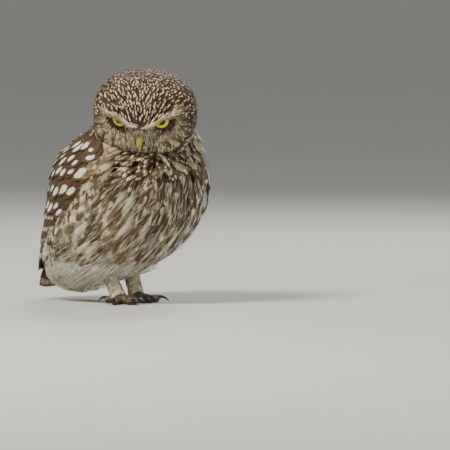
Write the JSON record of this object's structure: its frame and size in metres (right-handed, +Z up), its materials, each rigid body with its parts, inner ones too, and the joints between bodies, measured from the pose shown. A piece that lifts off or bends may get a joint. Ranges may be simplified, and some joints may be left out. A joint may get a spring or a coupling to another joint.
{
  "type": "little owl",
  "caption": "Small stocky brown and white spotted owl standing upright, its large round head turned and lowered in a frown, with yellow eyes, folded wings and a short tail.",
  "frame": {"origin": "middle of the box round the whole bird, at the level of its soles", "axes": "+Z up, -Y the way the body faces, +X the bird's left"},
  "size_m": [0.1162, 0.1626, 0.1882],
  "materials": {
    "breast": "matt",
    "crown": "matt",
    "wing": "matt",
    "leg": "matt",
    "foot": "matt",
    "claw": "satin",
    "bill": "satin",
    "eye": "gloss"
  },
  "bodies": {
    "root": {"torso": "breast", "head": "crown", "tail": "wing", "bill_upper": "bill", "bill_lower": "bill", "wing_left": "wing", "leg_left": "leg", "foot_left": "foot", "eye_left": "eye", "claw_inner_left": "claw", "claw_middle_left": "claw", "claw_outer_left": "claw", "claw_hind_left": "claw", "wing_right": "wing", "leg_right": "leg", "foot_right": "foot", "eye_right": "eye", "claw_inner_right": "claw", "claw_middle_right": "claw", "claw_outer_right": "claw", "claw_hind_right": "claw"}
  },
  "joints": []
}
